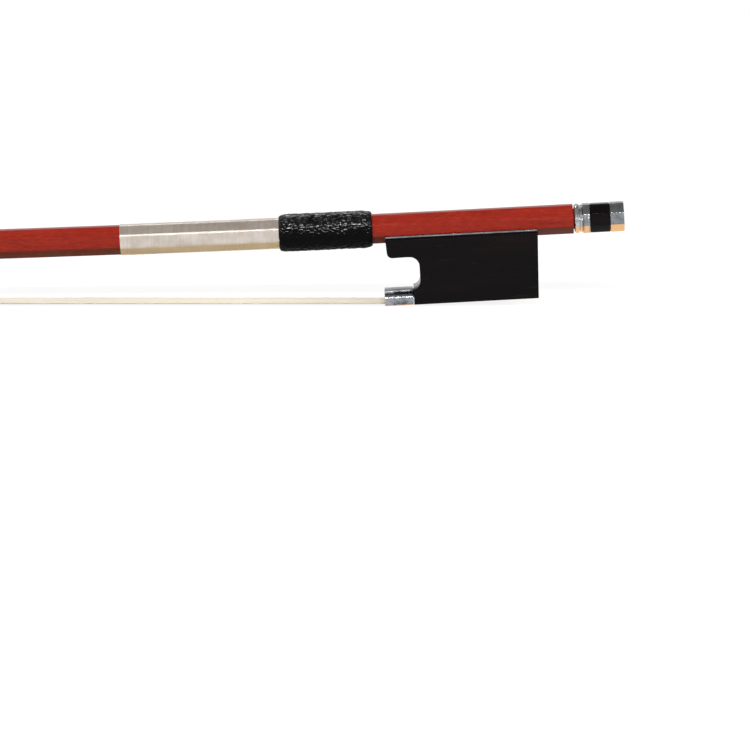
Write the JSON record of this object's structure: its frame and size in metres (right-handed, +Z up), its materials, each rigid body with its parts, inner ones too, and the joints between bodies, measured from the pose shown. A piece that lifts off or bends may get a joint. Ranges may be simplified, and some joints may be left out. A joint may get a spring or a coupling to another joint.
{
  "type": "violin bow",
  "caption": "Full-size violin bow with octagonal stick, ebony frog, screw-adjusted hair, wound grip and silver fittings.",
  "frame": {"origin": "middle of the bow's bounding box in X and Y, at the height of the surface that the hair and ferrule stand on", "axes": "+X along the bow from the head to the button, +Z up from the hair to the stick, +Y across the hair"},
  "size_m": [0.7449, 0.0132, 0.0312],
  "materials": {
    "pernambuco": "varnished, glossy",
    "ebony": "polished",
    "silver": "polished silver",
    "winding_silver": "wound silver wire",
    "steel": "plain",
    "brass": "plain",
    "tip_ivory": "polished",
    "pearl": "polished shell",
    "eye": "polished shell",
    "horse_hair": "fine strands",
    "leather": "pebble grain",
    "maple": "plain"
  },
  "bodies": {
    "stick": {"stick": "pernambuco", "tip_liner": "ebony", "tip_plate": "tip_ivory", "tip_hair_knot": "horse_hair", "tip_plug": "maple", "hair_ribbon": "horse_hair", "silver_winding": "winding_silver", "thumb_leather": "leather"},
    "frog": {"frog_body": "ebony", "underslide": "silver", "underslide_screw_front": "steel", "underslide_screw_rear": "steel", "ferrule": "silver", "spread_wedge": "maple", "slide_backing": "ebony", "pearl_slide": "pearl", "heel_plate": "silver", "eyelet": "brass", "frog_hair_knot": "horse_hair", "frog_plug": "maple"},
    "button": {"adjuster_screw": "steel", "button_collar": "silver", "button_front_ring": "silver", "button_ebony": "ebony", "button_rear_ring": "silver", "button_end_ring": "ebony", "button_eye": "eye"}
  },
  "joints": [
    {"name": "button_turn", "type": "hinge", "parent": "stick", "child": "button", "pos_m": [0.35685, 0, 0.02601], "axis": [-0.9986, 0, -0.0523], "range_deg": [-2160, 2160]},
    {"name": "frog_slide", "type": "slide", "parent": "stick", "child": "frog", "axis": [0.9986, 0, 0.0523], "range_m": [-0.003, 0.003], "deforming": ["hair_ribbon"]}
  ],
  "couplings": [
    {"joint": "button_turn", "follows": "frog_slide", "rad_per_m": 12566}
  ]
}
